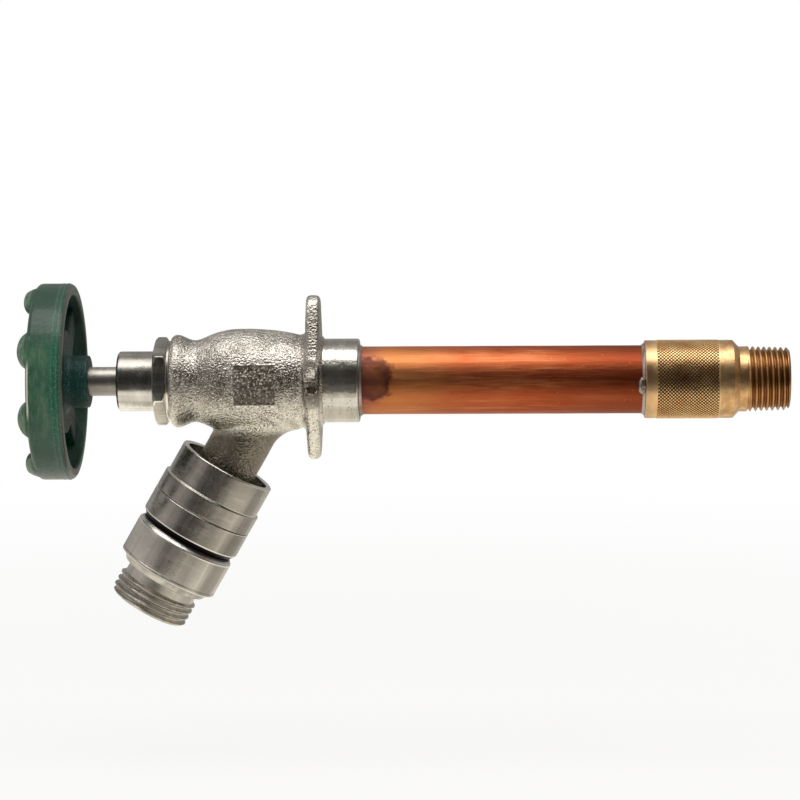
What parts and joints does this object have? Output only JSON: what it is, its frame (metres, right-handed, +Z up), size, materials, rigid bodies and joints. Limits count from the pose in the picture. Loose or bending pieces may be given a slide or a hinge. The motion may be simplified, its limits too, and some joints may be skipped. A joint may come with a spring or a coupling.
{
  "type": "frost free sillcock",
  "caption": "Frost-free outdoor tap: handwheel, cast body with wall flange, long copper tube to a threaded brass inlet, and a slanted hose outlet with vacuum breaker.",
  "frame": {"origin": "centre of the wall face of the flange, on the axis of the copper tube and midway between the two flange screws", "axes": "+X runs along the tube to the inlet thread, -X to the handwheel; +Z is up; -Y is the side with the bare cast panel, and the hose outlet slants down towards -X"},
  "size_m": [0.248, 0.0646, 0.1133],
  "materials": {
    "cast_nickel": "sand-cast brass under dull nickel plate, grainy",
    "machined_nickel": "turned brass under bright nickel plate",
    "copper": "drawn copper tube, heat-stained at both joints",
    "machined_brass": "turned brass, satin to bright",
    "solder": "dull tin solder",
    "green_paint": "glossy dark green paint over die casting",
    "steel": "bright steel",
    "spring_steel": "stainless spring wire",
    "black_rubber": "moulded black rubber",
    "packing": "graphite packing",
    "white_plastic": "moulded acetal"
  },
  "bodies": {
    "sillcock_body": {"valve_body": "cast_nickel", "copper_tube": "copper", "collar_solder": "solder", "fitting_solder": "solder", "inlet_fitting": "machined_brass", "valve_seat": "machined_brass", "bonnet": "machined_nickel", "bonnet_gasket": "machined_nickel", "packing_washer": "machined_brass", "packing_rings": "packing", "packing_gland": "machined_brass", "breaker_coupling": "machined_nickel", "breakaway_screw": "steel", "breaker_washer": "black_rubber", "check_seat": "white_plastic", "vent_diaphragm": "black_rubber", "breaker_body": "machined_nickel", "spring_guide": "white_plastic", "poppet_spring": "spring_steel", "drain_spring": "spring_steel", "retaining_ring": "steel"},
    "washer_carrier": {"washer_holder": "machined_brass", "seat_washer": "black_rubber", "seat_washer_screw": "steel"},
    "stem_and_wheel": {"stem_spindle": "machined_nickel", "operating_rod": "machined_brass", "handwheel": "green_paint", "handle_screw": "steel"},
    "check": {"check_poppet": "white_plastic", "poppet_seal": "black_rubber"},
    "drain_outlet": {"drain_collar": "machined_nickel", "vent_seal_ring": "black_rubber", "hose_nipple": "machined_nickel"}
  },
  "joints": [
    {"name": "stem_lift", "type": "slide", "parent": "sillcock_body", "child": "washer_carrier", "axis": [-1, 0, 0], "range_m": [0, 0.00556]},
    {"name": "handle_turn", "type": "hinge", "parent": "washer_carrier", "child": "stem_and_wheel", "pos_m": [-0.0884, 0, 0], "axis": [-1, 0, 0], "range_deg": [0, 630]},
    {"name": "check_open", "type": "slide", "parent": "sillcock_body", "child": "check", "axis": [-0.5, 0, -0.866], "range_m": [0, 0.0025], "stiffness_N_per_m": 100, "springref_m": -0.003, "deforming": ["poppet_spring"]},
    {"name": "drain_pull", "type": "slide", "parent": "sillcock_body", "child": "drain_outlet", "axis": [-0.5, 0, -0.866], "range_m": [0, 0.003], "stiffness_N_per_m": 800, "springref_m": -0.004, "deforming": ["drain_spring"]}
  ],
  "couplings": [
    {"joint": "stem_lift", "follows": "handle_turn", "m_per_rad": 0.00050532}
  ]
}
